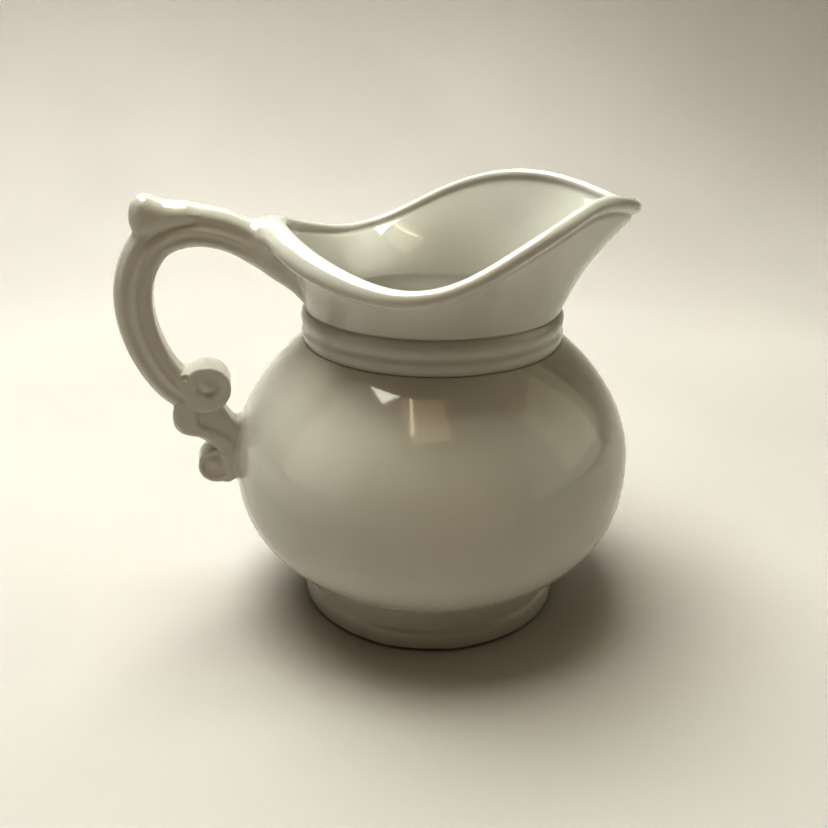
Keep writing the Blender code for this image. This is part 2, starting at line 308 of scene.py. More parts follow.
def belly_radius(z, inset=0.0, floor=0.0):
    """The belly's radius at a height, outside or, with an inset and a floor, inside."""
    z = np.asarray(z, float)
    up = np.clip((z - BELLY_MID) / (BELLY_RISE - inset), 0, 1)
    down = np.clip((BELLY_MID - z) / (BELLY_DROP - floor), 0, 1)
    above = (1 - up**RISE_POWER) ** (1 / RISE_POWER)
    below = (1 - down**DROP_POWER) ** (1 / DROP_RADIUS_POWER)
    return (BELLY_RADIUS - inset) * np.where(z >= BELLY_MID, above, below)


def collar_radius(z):
    """The collar's outline: a full band with a soft groove round its middle, and a cove at each edge."""
    t = np.clip((np.asarray(z, float) - COLLAR_MID) / COLLAR_HALF, -1, 1)
    band = (1 - np.abs(t) ** 3.0) ** 0.7
    groove = COLLAR_GROOVE * np.exp(-((t / COLLAR_GROOVE_WIDTH) ** 2))
    root = COLLAR_ROOTS[0] + (COLLAR_ROOTS[1] - COLLAR_ROOTS[0]) * (t + 1) / 2
    return root + (COLLAR_RADIUS - 0.05 - root) * band - groove


def back_share(angle, spread, steep=1.0):
    """1 at the back of the lip, where the handle meets it, falling to 0 at the given angle from there."""
    away = np.abs(math.pi - np.abs(angle) % (2 * math.pi))
    return smooth(steep * (1 - away / spread))


def place(radius, angle, z):
    return np.stack([radius * np.cos(angle), radius * np.sin(angle), np.broadcast_to(z, radius.shape)], -1)


def unit(v):
    return v / np.linalg.norm(v, axis=-1, keepdims=True)


def lip_point(angle):
    """The lip's centre line."""
    return place(wave(REACH_WAVES, angle), angle, wave(HEIGHT_WAVES, angle))


def neck_middle(angle, share):
    """Radius and height of the middle of the neck's wall. The share is 0 at the collar and 1 at the lip."""
    top = wave(REACH_WAVES, angle) + NECK_OUTSET * (1 + np.cos(angle)) * 0.6
    height = wave(HEIGHT_WAVES, angle)
    flare = NECK_FLARE * share + (1 - NECK_FLARE) * share * share
    return NECK_ROOT + (top - NECK_ROOT) * flare, NECK_BASE + (height - NECK_BASE) * share


def neck_point(angle, share):
    radius, z = neck_middle(angle, share)
    return place(radius, angle, z)


def lip_frame(angle):
    """The lip's oval section at each angle: centre, outward and upward directions, half width, half depth."""
    step = 1e-4
    along = unit(lip_point(angle + step) - lip_point(angle - step))
    up = unit(neck_point(angle, 1.0) - neck_point(angle, 0.97))
    up = unit(up - (up * along).sum(-1, keepdims=True) * along)
    out = np.cross(along, up)
    broad = back_share(angle, BROAD_SPREAD, BROAD_STEEP)[:, None]
    crest = back_share(angle, CREST_SPREAD)[:, None]
    centre = lip_point(angle) + out * BROAD_OUT * broad + up * (CREST_UP * crest - BROAD_DEEP * broad)
    wide = LIP_RADIUS + BROAD_WIDE * broad
    deep = LIP_RADIUS + BROAD_DEEP * broad + CREST_DEEP * crest
    return centre, out, up, wide, deep


def wall_point(angle, share, offset):
    """A point on the neck's wall, moved along the wall's own normal."""
    step = 1e-3
    across = neck_point(angle + step, share) - neck_point(angle - step, share)
    rise = neck_point(angle, share + step) - neck_point(angle, share - step)
    normal = unit(np.cross(across, rise))
    level = place(np.ones_like(angle), angle, 0.0)
    lean = smooth(share / 0.2)[:, None]
    return neck_point(angle, share) + unit(level + (normal - level) * lean) * offset[:, None]


def bezier(start, leave, arrive, end, count):
    """Rows between two rings of points, not counting the two rings themselves."""
    rows = []
    for t in np.linspace(0, 1, count + 2)[1:-1]:
        rows.append(
            (1 - t) ** 3 * start + 3 * t * (1 - t) ** 2 * leave + 3 * t * t * (1 - t) * arrive + t**3 * end
        )
    return rows


def turned_rows(profile, angle):
    """One round row for each (radius, height) of a profile."""
    return [place(np.full_like(angle, r), angle, z) for r, z in profile]


def under_rows(angle):
    """The slightly domed underside of the floor, from the middle out to the foot ring."""
    return turned_rows([(r, FOOT_RECESS + UNDER_DOME - 0.5 * (r / 25) ** 2) for r in UNDER_RADII], angle)


def foot_rows(angle):
    """The foot ring: its inner side, the bare resting face, the edge of the glaze, the band and the cove."""
    ripple = 0.5 + 0.5 * np.sin(3 * angle + 0.7) * np.sin(7 * angle + 1.9)
    ripple = np.clip(ripple + 0.35 * np.sin(19 * angle + 0.4) * np.sin(5 * angle), 0, 1.3)
    edge = GLAZE_LINE * (0.35 + 0.65 * ripple)
    face = ((FOOT_FACE_INNER, 0.0), (29.0, 0.0), (FOOT_FACE_OUTER - 0.5, 0.0), (FOOT_FACE_OUTER - 0.2, 0.03))
    rows = turned_rows(FOOT_INNER_SIDE + face, angle)
    for out, lift in GLAZE_EDGE:
        rows.append(place(np.full_like(angle, FOOT_FACE_OUTER + out), angle, lift * edge))
    bulge = FOOT_RADIUS - FOOT_WAIST
    for t in np.linspace(0, 1.0, 14)[1:]:
        z = GLAZE_TOP * edge + (FOOT_BAND_TOP - GLAZE_TOP * edge) * t
        dip = (z - FOOT_BULGE_Z) / np.where(z > FOOT_BULGE_Z, FOOT_BULGE_ABOVE, FOOT_BULGE_BELOW)
        full = np.sqrt(np.clip(1 - dip**2, 0, 1))
        rows.append(place(FOOT_WAIST + bulge * (FOOT_STEP + (1 - FOOT_STEP) * full), angle, z))
    for t in np.linspace(0, 1.0, 12)[1:]:
        z = FOOT_BAND_TOP + (BELLY_FOOT - 0.35 - FOOT_BAND_TOP) * t
        step = FOOT_STEP * bulge * (1 - float(smooth(t * 2.2)))
        rows += turned_rows([(FOOT_WAIST + step - 0.35 * t * t, z)], angle)
    return rows


def belly_rows(angle):
    """The outside of the belly, from the thin raised line at the foot up to the collar."""
    line = [(FOOT_WAIST + out, BELLY_FOOT + up) for out, up in RAISED_LINE]
    lower = np.cos(np.linspace(0, math.pi / 2, 34, endpoint=False))
    upper = np.sin(np.linspace(0, math.pi / 2, 36))
    drop = BELLY_MID - BELLY_FOOT - 0.4
    heights = np.concatenate([-drop * lower, (BELLY_TOP - BELLY_MID) * upper]) + BELLY_MID
    return turned_rows(line + [(float(belly_radius(h)), h) for h in heights], angle)


def collar_rows(angle):
    """The outside of the collar, from its lower crease to its upper one."""
    top = COLLAR_MID + COLLAR_HALF
    low = COLLAR_MID - COLLAR_HALF
    profile = [(COLLAR_ROOTS[0] + 0.02, low + 0.01)]
    for turn in np.linspace(-math.pi / 2, math.pi / 2, 35)[1:-1]:
        z = COLLAR_MID + COLLAR_HALF * math.sin(turn)
        profile.append((float(collar_radius(z)), z))
    profile.append((COLLAR_ROOTS[1] + 0.02, top - 0.01))
    return turned_rows(profile, angle)


def wall_out(angle):
    """How far the neck's outer face stands off the middle of its wall: more at the spout."""
    spout = np.clip(np.cos(angle), 0, 1) ** 1.5
    return WALL_OUT_SIDE + (WALL_OUT_SPOUT - WALL_OUT_SIDE) * spout


def neck_length(angle):
    radius, z = neck_middle(angle, 1.0)
    return np.hypot(radius - NECK_ROOT, z - NECK_BASE)


def neck_outer_rows(angle):
    """The outside of the neck, from the collar up to the cove under the lip."""
    last = 1 - (LIP_FILLET + BROAD_COVES[0] * back_share(angle, BROAD_SPREAD)) / neck_length(angle)
    return [wall_point(angle, last * s, wall_out(angle)) for s in np.linspace(0, 1, NECK_ROWS) ** 1.15]


def neck_inner_rows(angle):
    """The inside of the neck, from the lip down to the throat."""
    last = 1 - (LIP_FILLET + BROAD_COVES[1] * back_share(angle, BROAD_SPREAD)) / neck_length(angle)
    inset = np.full_like(angle, -WALL_IN)
    return [wall_point(angle, last * s, inset) for s in np.linspace(1, 0, NECK_ROWS) ** 1.05]


def lip_rows(angle):
    """The rounded lip between the neck's outer and inner faces, with a small cove under each side."""
    centre, out, up, wide, deep = lip_frame(angle)
    outer = neck_outer_rows(angle)
    inner = neck_inner_rows(angle)

    def round_point(turn):
        return centre + out * wide * np.cos(turn) + up * deep * np.sin(turn)

    def heading(turn):
        return unit(up * deep * np.cos(turn) - out * wide * np.sin(turn))

    first = -LIP_ARC - BROAD_ARC * back_share(angle, BROAD_SPREAD)[:, None]
    last = math.pi + LIP_ARC
    start, end = round_point(first), round_point(last)
    pull = LIP_FILLET * 0.34
    rise = unit(outer[-1] - outer[-2])
    fall = unit(inner[1] - inner[0])
    leave = start - heading(first) * pull * 0.8
    arrive = end + heading(last) * pull * 0.8
    rows = bezier(outer[-1], outer[-1] + rise * pull, leave, start, COVE_ROWS)
    rows += [round_point(first + (last - first) * t) for t in np.linspace(0, 1, LIP_ROWS)]
    rows += bezier(end, arrive, inner[0] - fall * pull, inner[0], COVE_ROWS)
    return rows


def hollow_radius(z):
    """The radius of the belly's inside at a height."""
    return float(belly_radius(z, WALL, FLOOR))


def cavity_rows(angle):
    """The inside below the neck: throat, belly and floor, down to a small ring round the axis."""
    start = neck_inner_rows(angle)[-1]
    radius = float(np.hypot(start[0, 0], start[0, 1]))
    profile = []
    for t in np.linspace(0, 1, THROAT_ROWS + 1)[1:]:
        narrow = radius + (THROAT_RADIUS - radius) * float(smooth(t))
        profile.append((narrow, NECK_BASE - (NECK_BASE - THROAT_Z) * t))
    throat = np.array([THROAT_RADIUS, THROAT_Z])
    shoulder = np.array([hollow_radius(SHOULDER_Z), SHOULDER_Z])
    slope = unit(np.array([hollow_radius(SHOULDER_Z - 0.5) - shoulder[0], -0.5]))
    profile += bezier(throat, throat + np.array([0, -3.2]), shoulder - slope * 4.0, shoulder, 9)
    profile.append(shoulder)
    up = BELLY_RISE - WALL
    first = math.asin(((SHOULDER_Z - BELLY_MID) / up) ** (RISE_POWER / 2))
    heights = [BELLY_MID + up * math.sin(turn) ** (2 / RISE_POWER) for turn in np.linspace(first, 0, 16)[1:]]
    down = BELLY_DROP - FLOOR
    turns = np.linspace(0, math.pi / 2, 30)[1:-1]
    heights += [BELLY_MID - down * math.sin(turn) ** (2 / DROP_POWER) for turn in turns]
    profile += [(hollow_radius(z), z) for z in heights]
    last = profile[-1][0]
    profile += [(last * share, BELLY_MID - down) for share in (0.8, 0.55, 0.3, 0.08)]
    return turned_rows(profile, angle)


# ---------------------------------------------------------------- meshes


def to_frame(points):
    """Millimetres in the jug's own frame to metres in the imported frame."""
    moved = np.array(points, float).reshape(-1, 3)
    moved[:, 0] += AXIS
    return moved * MM


def mesh_object(name, points, faces, loop_normals=None):
    """A smooth mesh object from points in mm. A zero loop normal leaves that corner to the mesh itself."""
    mesh = bpy.data.meshes.new(name)
    mesh.from_pydata(to_frame(points).tolist(), [], faces)
    mesh.shade_smooth()
    obj = bpy.data.objects.new(name, mesh)
    bpy.context.scene.collection.objects.link(obj)
    if loop_normals is not None:
        mesh.normals_split_custom_set(loop_normals.tolist())
    mesh.update()
    return obj


class Body:
    """The jug without its handle: one grid of rings from the underside, over the lip, to the inside floor."""

    def __init__(self):
        angle = np.arange(COLUMNS) * 2 * math.pi / COLUMNS
        sections = (
            ("under", under_rows(angle)),
            ("foot", foot_rows(angle)),
            ("belly", belly_rows(angle)),
            ("collar", collar_rows(angle)),
            ("neck_out", neck_outer_rows(angle)),
            ("lip", lip_rows(angle)),
            ("neck_in", neck_inner_rows(angle)),
            ("cavity", cavity_rows(angle)),
        )
        self.start = {}
        rows = []
        for name, part in sections:
            self.start[name] = len(rows)
            rows += part
        self.points = np.array(rows)
        self.last = len(rows) - 1
        self.throat = self.start["cavity"] + THROAT_ROWS - 1
        self.normals = self.grid_normals()

    def grid_normals(self):
        """Area-weighted normals of the whole skin, so that no seam between two pieces shows."""
        p = self.points
        right = np.roll(p, -1, axis=1)
        quads = np.cross(right[1:] - p[:-1], p[1:] - right[:-1])
        total = np.zeros_like(p)
        total[:-1] += quads
        total[1:] += quads
        total = total + np.roll(total, 1, axis=1)
        return unit(total)

    def piece(self, name, *spans):
        """A closed piece of the skin: the given spans of rows, joined to each other by hidden faces."""
        rows = [row for first, last in spans for row in range(first, last + 1)]
        points = self.points[rows].reshape(-1, 3).tolist()
        normal = self.normals[rows].reshape(-1, 3)
        breaks = np.cumsum([last - first + 1 for first, last in spans]) - 1
        meets_axis = spans[0][0] == 0
        strips = [(i, i + 1, i not in breaks) for i in range(len(rows) - 1)]
        if not meets_axis:
            strips.append((len(rows) - 1, 0, False))
        faces, shown = [], []
        for low, high, visible in strips:
            for i in range(COLUMNS):
                j = (i + 1) % COLUMNS
                faces.append((low * COLUMNS + i, low * COLUMNS + j, high * COLUMNS + j, high * COLUMNS + i))
                shown.append(visible)
        if meets_axis:
            for row, turn in ((0, 1), (len(rows) - 1, -1)):
                ring = np.array(points[row * COLUMNS : (row + 1) * COLUMNS])
                points.append(ring.mean(0).tolist())
                normal = np.vstack([normal, [[0, 0, -turn]]])
                for i in range(COLUMNS):
                    j = (i + 1) % COLUMNS
                    pair = (row * COLUMNS + j, row * COLUMNS + i)[::turn]
                    faces.append((*pair, len(points) - 1))
                    shown.append(True)
        corners = [normal[list(f)] if seen else np.zeros((len(f), 3)) for f, seen in zip(faces, shown)]
        return mesh_object(name, points, faces, np.concatenate(corners))


def build_body():
    """The five pieces of the body, by the CAD node that each stands for."""
    skin = Body()
    row = skin.start
    neck_top, neck_low = row["lip"] - 1, row["cavity"] - 1
    bowl_spans = (0, row["foot"]), (row["belly"], row["collar"]), (skin.throat, skin.last)
    return {
        "bowl": skin.piece("bowl_skin", *bowl_spans),
        "foot_ring": skin.piece("foot_ring_skin", (row["foot"], row["belly"])),
        "neck_collar": skin.piece("collar_skin", (row["collar"], row["neck_out"]), (neck_low, skin.throat)),
        "spouted_neck": skin.piece("neck_skin", (row["neck_out"], neck_top), (row["neck_in"], neck_low)),
        "rim_roll": skin.piece("rim_skin", (neck_top, row["neck_in"])),
    }


# ---------------------------------------------------------------- handle as a distance field


def curve(path, count):
    """A smooth curve through the rows of a path (Catmull-Rom), with all of their columns."""
    p = np.array(path, float)
    p = np.vstack([2 * p[0] - p[1], p, 2 * p[-1] - p[-2]])
    t = np.linspace(0, len(path) - 1, count)
    i = np.minimum(t.astype(int), len(path) - 2)
    f = (t - i)[:, None]
    a, b, c, d = p[i], p[i + 1], p[i + 2], p[i + 3]
    return 0.5 * (2 * b + (c - a) * f + (2 * a - 5 * b + 4 * c - d) * f**2 + (3 * b - a - 3 * c + d) * f**3)


def nearest(line, s, z):
    """Signed distance across a planar curve, the share along it and its other columns, at each point."""
    shape = np.broadcast(s, z).shape
    q = np.stack([np.broadcast_to(s, shape).ravel(), np.broadcast_to(z, shape).ravel()], -1)
    a, b = line[:-1], line[1:]
    edge = b[:, :2] - a[:, :2]
    length2 = (edge**2).sum(1)
    best = np.full(len(q), np.inf)
    index = np.zeros(len(q), int)
    share = np.zeros(len(q))
    for k in range(len(a)):
        rel = q - a[k, :2]
        t = np.clip(rel @ edge[k] / length2[k], 0, 1)
        d2 = ((rel - t[:, None] * edge[k]) ** 2).sum(1)
        closer = d2 < best
        best[closer], index[closer], share[closer] = d2[closer], k, t[closer]
    rel = q - a[index, :2]
    side = np.sign(edge[index, 0] * rel[:, 1] - edge[index, 1] * rel[:, 0])
    extra = a[index, 2:] + (b[index, 2:] - a[index, 2:]) * share[:, None]
    along = (index + share) / len(a)
    return (side * np.sqrt(best)).reshape(shape), along.reshape(shape), [e.reshape(shape) for e in extra.T]


def smin(a, b, k):
    """The smaller of two distances, with a rounded inner corner of size k."""
    h = np.clip(1 - np.abs(a - b) / k, 0, 1)
    return np.minimum(a, b) - h**3 * k / 6


def smax(a, b, k):
    """The larger of two distances, with a rounded outer corner of size k."""
    return -smin(-a, -b, k)


def block(across, y, width, corner):
    """Distance to a planar shape given thickness across the mirror plane, with rounded edges."""
    a = across + corner
    b = np.abs(y) - width + corner
    outside = np.hypot(np.maximum(a, 0), np.maximum(b, 0))
    return outside + np.minimum(np.maximum(a, b), 0) - corner


def bump(x, width):
    """A round hump, 1 high at x = 0."""
    return np.exp(-((x / width) ** 2))


ARCH_LINE = curve(ARCH, 130)
REST_LINE = curve(REST + REST[:1], 70)
GUSSET_LINE = curve(GUSSET, 24)
BAND_LINE = curve(BAND, 54)
BRACKET_LINE = curve(BRACKET + BRACKET[:1], 85)


def arch_field(s, y, z):
    """The swept strap, rounded above and below, with a shallow flute along each side."""
    across, along, (thick, wide) = nearest(ARCH_LINE, s, z)
    begin = smooth((along - STRAP_FADE_IN[0]) / STRAP_FADE_IN[1])
    end = smooth((STRAP_FADE_OUT[0] - along) / STRAP_FADE_OUT[1])
    flute = sum(depth * bump(across - at, spread) for depth, at, spread in STRAP_WAVES)
    width = wide - flute * begin * end
    corner = STRAP_CORNERS[0] + STRAP_CORNERS[1] * smooth((across + 0.6) / 1.4)
    return block(np.abs(across) - thick, y, width, np.minimum(corner, thick * 0.96))


def rest_field(s, y, z):
    """The thumb rest: a soft pad with a blunt end on top of the strap."""
    return block(polygon_field(REST_LINE, s, z), y, REST_HALF_WIDTH, REST_CORNER)


def polygon_field(line, s, z):
    """Signed distance to a closed planar curve, negative inside."""
    across, _, _ = nearest(line, s, z)
    q = np.stack(np.broadcast_arrays(s, z), -1)
    inside = np.zeros(q.shape[:-1], bool)
    for a, b in zip(line[:-1, :2], line[1:, :2]):
        straddles = (a[1] > q[..., 1]) != (b[1] > q[..., 1])
        rise = b[1] - a[1] if b[1] != a[1] else 1e-9
        inside ^= straddles & (q[..., 0] < a[0] + (q[..., 1] - a[1]) * (b[0] - a[0]) / rise)
    return np.abs(across) * np.where(inside, -1, 1)


def disc_field(disc, s, z):
    """Signed distance to a round disc, negative inside."""
    middle_s, middle_z, radius = disc
    return np.hypot(s - middle_s, z - middle_z) - radius


def upper_scroll_field(s, y, z):
    """The upper scroll: a drum with a coiled groove round a raised boss on each side."""
    boss_s, boss_z = s - UPPER_BOSS[0], z - UPPER_BOSS[1]
    boss = np.hypot(boss_s, boss_z)
    depth, away, spread = UPPER_GROOVE
    groove = depth * smooth(0.75 - boss_z / 4.0) * bump(boss - away, spread)
    depth, away, spread = UPPER_TAIL
    tail = depth * bump(boss_s - away + 0.25 * (boss_z + 1), spread)
    tail = tail * smooth(1 - np.abs(boss_z - 0.6) / 3.2)
    width = SCROLL_HALF_WIDTH - groove - tail + 0.3 * bump(boss, 1.1)
    drum = block(disc_field(UPPER_SCROLL, s, z), y, width, 0.7)
    web = block(disc_field(UPPER_WEB, s, z), y, SCROLL_HALF_WIDTH, 0.6)
    pit_s, pit_z, pit_y = UPPER_PIT
    pit = np.sqrt((s - pit_s) ** 2 + (z - pit_z) ** 2 + (np.abs(y) - pit_y) ** 2) - UPPER_PIT_RADIUS
    return smax(smin(drum, web, 0.8), -pit, 0.5)


def lower_scroll_field(s, y, z):
    """The lower scroll: a smaller drum, sunk inside its edge, with a raised boss on each side."""
    edge = disc_field(LOWER_SCROLL, s, z)
    boss = np.hypot(s - LOWER_BOSS[0], z - LOWER_BOSS[1])
    width = SCROLL_HALF_WIDTH - 0.2 - 0.55 * smooth((-0.6 - edge) / 0.8) + 0.45 * bump(boss, 1.2)
    return block(edge, y, width, 0.9)


def bracket_field(s, y, z):
    """The bracket under the upper scroll, with an S-shaped rib along each side."""
    plate = block(polygon_field(BRACKET_LINE, s, z), y, BRACKET_HALF_WIDTH, 1.3)
    across, _, (thick,) = nearest(BAND_LINE, s, z)
    rib = block(np.abs(across) - thick, y, BAND_HALF_WIDTH, 1.1)
    return smin(plate, rib, 0.9)


def gusset_field(s, y, z):
    """The web that runs from under the strap down the back of the neck."""
    across, _, (thick, wide) = nearest(GUSSET_LINE, s, z)
    return block(np.abs(across) - thick, y, wide, np.minimum(thick, wide) * 0.95)


def lip_distance(x, y, z):
    """Distance to the lip's oval section, measured square to the lip's own line."""
    angle = np.arctan2(y, x)
    centre, out, up, wide, deep = lip_frame(angle.ravel())
    rel = np.stack([np.broadcast_to(v, angle.shape).ravel() for v in (x, y, z)], -1) - centre
    a, b = (rel * out).sum(-1) / wide[:, 0], (rel * up).sum(-1) / deep[:, 0]
    size = np.maximum(np.hypot(a, b), 1e-3)
    steepness = np.hypot(a / wide[:, 0], b / deep[:, 0]) / size
    return ((size - 1) / steepness).reshape(angle.shape)


def body_field(s, y, z):
    """Distance to the glazed outside of the body near the handle."""
    x, y, z = np.broadcast_arrays(-s, y, z)
    r, angle = np.hypot(x, y), np.arctan2(y, x)
    slope = (belly_radius(z + 0.05) - belly_radius(z - 0.05)) / 0.1
    belly = (r - belly_radius(z)) / np.sqrt(1 + slope**2)
    belly = np.where(z > BELLY_TOP, np.maximum(belly, z - BELLY_TOP), belly)
    collar = np.maximum(r - collar_radius(z), np.abs(z - COLLAR_MID) - COLLAR_HALF)
    flat = angle.ravel()
    reach, height = wave(REACH_WAVES, flat), wave(HEIGHT_WAVES, flat)
    share = np.clip((z.ravel() - NECK_BASE) / (height - NECK_BASE), -0.2, 1)
    middle, _ = neck_middle(flat, share)
    tilt = (reach - NECK_ROOT) * (NECK_FLARE + 2 * (1 - NECK_FLARE) * share) / (height - NECK_BASE)
    across = ((r.ravel() - middle) / np.hypot(1, tilt)).reshape(z.shape)
    wall = np.maximum(across - WALL_OUT_SIDE, -across - WALL_IN)
    wall = np.maximum(wall, np.maximum(NECK_BASE - 1 - z, z - height.reshape(z.shape)))
    return smin(np.minimum(np.minimum(belly, collar), wall), lip_distance(x, y, z), 0.8)


def handle_shape(s, y, z, mouth):
    """The handle before it is joined to the body."""
    strap = smin(arch_field(s, y, z), rest_field(s, y, z), 1.0)
    root = smax(smin(strap, gusset_field(s, y, z), 3.5), mouth, 1.2)
    curl = smin(root, upper_scroll_field(s, y, z), 0.8)
    foot = smin(bracket_field(s, y, z), lower_scroll_field(s, y, z), 0.5)
    return smin(curl, foot, 0.6)


def mouth_depth(s, y, z):
    """How far a point lies inside the middle of the neck's wall."""
    x, y, z = np.broadcast_arrays(-s, y, z)
    angle = np.arctan2(y, x)
    share = np.clip((z - NECK_BASE) / (wave(HEIGHT_WAVES, angle) - NECK_BASE), 0, 1)
    return neck_middle(angle, share)[0] - 0.4 - np.hypot(x, y)


def joint_softness(z, mouth):
    """Size of the fillet between handle and body: small at the belly, large where the strap meets the lip."""
    at_neck = ROOT_FILLETS[1] * smooth((z - 66) / 12)
    at_lip = ROOT_FLARE * smooth((z - 77) / 8) * smooth(-mouth / 3.0)
    return ROOT_FILLETS[0] + at_neck + at_lip


def sink(z):
    """How far below the body's surface the fillets end: deeper on the neck, where they are long and flat."""
    return SINK + NECK_SINK * smooth((z - 70) / 5)


def joined_field(s, y, z):
    """The handle with its fillets running out over the body."""
    mouth = mouth_depth(s, y, z)
    return smin(handle_shape(s, y, z, mouth), body_field(s, y, z) + sink(z), joint_softness(z, mouth))


def handle_field(s, y, z):
    """The same handle, ended just under the surface of the body."""
    body = body_field(s, y, z)
    mouth = mouth_depth(s, y, z)
    shape = handle_shape(s, y, z, mouth)
    soft = joint_softness(z, mouth)
    whole = smin(shape, body + sink(z), soft)
    return np.maximum(np.maximum(whole, shape - 0.9 * soft), -(body + ROOT_DEPTH))


# ---------------------------------------------------------------- skin over the field


def surface_net(values, low, step):
    """Points and quads of a grid's zero surface, with one point in each cell that the surface crosses."""
    inside = values < 0
    shape = np.array(values.shape) - 1
    corners = [np.array(c) for c in np.ndindex(2, 2, 2)]

    def window(array, corner):
        return array[tuple(slice(c, c + n) for c, n in zip(corner, shape))]

    count = sum(window(inside, c).astype(int) for c in corners)
    cells = np.argwhere((count > 0) & (count < 8))
    index = np.full(tuple(shape), -1)
    index[tuple(cells.T)] = np.arange(len(cells))
    total, crossings = np.zeros((len(cells), 3)), np.zeros(len(cells))
    for a in corners:
        for axis in range(3):
            if a[axis]:
                continue
            b = a.copy()
            b[axis] = 1
            va, vb = values[tuple((cells + a).T)], values[tuple((cells + b).T)]
            cross = (va < 0) != (vb < 0)
            t = np.where(cross, va / np.where(cross, va - vb, 1), 0)
            point = a + (b - a) * t[:, None]
            total += np.where(cross[:, None], point, 0)
            crossings += cross
    points = low + step * (cells + total / crossings[:, None])
    quads = []
    for axis in range(3):
        u, v = (axis + 1) % 3, (axis + 2) % 3
        first = [slice(None)] * 3
        second = [slice(None)] * 3
        first[axis], second[axis] = slice(0, -1), slice(1, None)
        change = inside[tuple(first)] != inside[tuple(second)]
        at = np.argwhere(change)
        at = at[(at[:, u] > 0) & (at[:, v] > 0) & (at[:, u] < shape[u]) & (at[:, v] < shape[v])]
        du, dv = np.eye(3, dtype=int)[u], np.eye(3, dtype=int)[v]
        ring = [at - du - dv, at - dv, at, at - du]
        quad = np.stack([index[tuple(cell.T)] for cell in ring], -1)
        outward = inside[tuple(at.T)]
        quad[~outward] = quad[~outward][:, ::-1]
        quads.append(quad)
    return points, np.concatenate(quads)


def gradient(field, points, step=0.02):
    """The field's slope at each point."""
    slope = []
    for axis in range(3):
        move = np.eye(3)[axis] * step
        slope.append(field(*(points + move).T) - field(*(points - move).T))
    return np.stack(slope, -1) / (2 * step)


def settle(field, points, rounds):
    """Moves points onto the zero surface of the field."""
    for _ in range(rounds):
        slope = gradient(field, points)
        value = field(*points.T)
        points = points - slope * (value / np.maximum((slope**2).sum(-1), 0.05))[:, None]
    return points


def relax(points, quads):
    """Moves every point halfway to the mean of its neighbours."""
    total, count = np.zeros_like(points), np.zeros(len(points))
    for a, b in ((0, 1), (1, 2), (2, 3), (3, 0)):
        for i, j in ((a, b), (b, a)):
            np.add.at(total, quads[:, i], points[quads[:, j]])
            np.add.at(count, quads[:, i], 1)
    return 0.5 * points + 0.5 * total / count[:, None]


def paint_resting_ring(piece, clay):
    """Gives the faces that touch the table, and their rounded edges, the unglazed clay."""
    piece.data.materials.append(clay)
    for face in piece.data.polygons:
        middle = face.center / MM
        radius = math.hypot(middle.x - AXIS, middle.y)
        low = middle.z < GLAZE_LINE and FOOT_FACE_INNER - 0.8 < radius < FOOT_FACE_OUTER + 0.8
        if low and face.normal.z < -0.2:
            face.material_index = 1


def build_handle():
    """The handle's surface, meshed on a grid in the jug's frame with the handle side positive."""
    low = np.array(HANDLE_LOW) + GRID_SHIFT
    size = (np.array(HANDLE_HIGH) - low) / HANDLE_STEP
    s, y, z = (low[i] + HANDLE_STEP * np.arange(int(size[i]) + 1) for i in range(3))
    values = handle_field(s[:, None, None], y[None, :, None], z[None, None, :])
    points, quads = surface_net(values, low, HANDLE_STEP)
    for _ in range(2):
        points = settle(handle_field, relax(points, quads), 1)
    points = settle(handle_field, points, 2)
    seen = body_field(*points.T)[:, None] > -0.3
    normal = unit(np.where(seen, gradient(joined_field, points), gradient(handle_field, points)))
    points[:, 0] *= -1
    normal[:, 0] *= -1
    quads = quads[:, ::-1]
    return mesh_object("handle_skin", points, quads.tolist(), normal[quads.ravel()])


# ---------------------------------------------------------------- materials


def node(tree, kind, **values):
    """A new shader node, with its sockets and settings given by name."""
    made = tree.nodes.new(kind)
    for key, value in values.items():
        if key in made.inputs:
            made.inputs[key].default_value = value
        else:
            setattr(made, key, value)
    return made


def noise(tree, where, scale, detail=2.0, roughness=0.5):
    made = node(tree, "ShaderNodeTexNoise", Scale=scale, Detail=detail, Roughness=roughness)
    tree.links.new(where, made.inputs["Vector"])
    return made


def ramp(tree, source, stops):
    """A soft colour ramp through the stops, each (position, colour)."""
    made = tree.nodes.new("ShaderNodeValToRGB")
    made.color_ramp.interpolation = "EASE"
    while len(made.color_ramp.elements) < len(stops):
        made.color_ramp.elements.new(0.5)
    for element, (position, colour) in zip(made.color_ramp.elements, stops):
        element.position = position
        element.color = colour if len(colour) == 4 else (*colour, 1)
    tree.links.new(source, made.inputs["Fac"])
    return made


def new_material(name):
    """An empty material, with its node tree, its shader and the object's own coordinates."""
    material = bpy.data.materials.new(name)
    material.use_nodes = True
    tree = material.node_tree
    where = tree.nodes.new("ShaderNodeTexCoord").outputs["Object"]
    return material, tree, tree.nodes["Principled BSDF"], where


